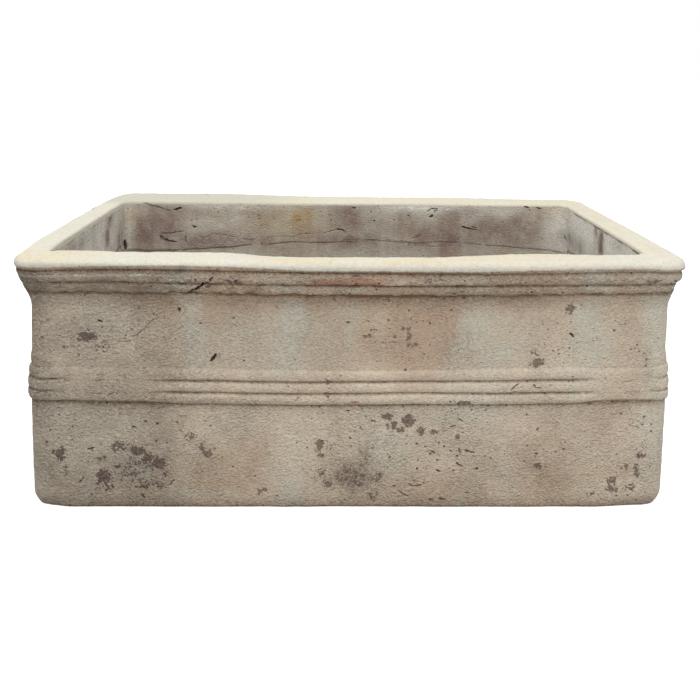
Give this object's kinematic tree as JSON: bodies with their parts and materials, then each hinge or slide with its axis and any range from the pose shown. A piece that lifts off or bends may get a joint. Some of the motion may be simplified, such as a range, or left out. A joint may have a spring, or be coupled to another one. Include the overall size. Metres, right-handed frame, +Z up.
{
  "type": "plant pot",
  "caption": "Long rectangular terracotta trough planter with a moulded overhanging rim, a reeded waist band, thick slab walls and a drained flat base.",
  "frame": {"origin": "centre of the flat underside, at the middle of the box round the part", "axes": "+X along the trough, -Y towards the front that the picture shows, +Z up"},
  "size_m": [0.8, 0.46, 0.312],
  "materials": {
    "washed_terracotta": "matt fired clay under a weathered tan and grey lime wash",
    "limed_terracotta": "matt fired clay with thick cream lime wash left on the lip",
    "bare_terracotta": "matt unwashed fired clay, dusty"
  },
  "bodies": {
    "root": {"floor_slab": "bare_terracotta", "wall_front": "washed_terracotta", "wall_right": "washed_terracotta", "wall_back": "washed_terracotta", "wall_left": "washed_terracotta", "rim_front": "limed_terracotta", "rim_right": "limed_terracotta", "rim_back": "limed_terracotta", "rim_left": "limed_terracotta", "band_front": "washed_terracotta", "band_right": "washed_terracotta", "band_back": "washed_terracotta", "band_left": "washed_terracotta"}
  },
  "joints": []
}
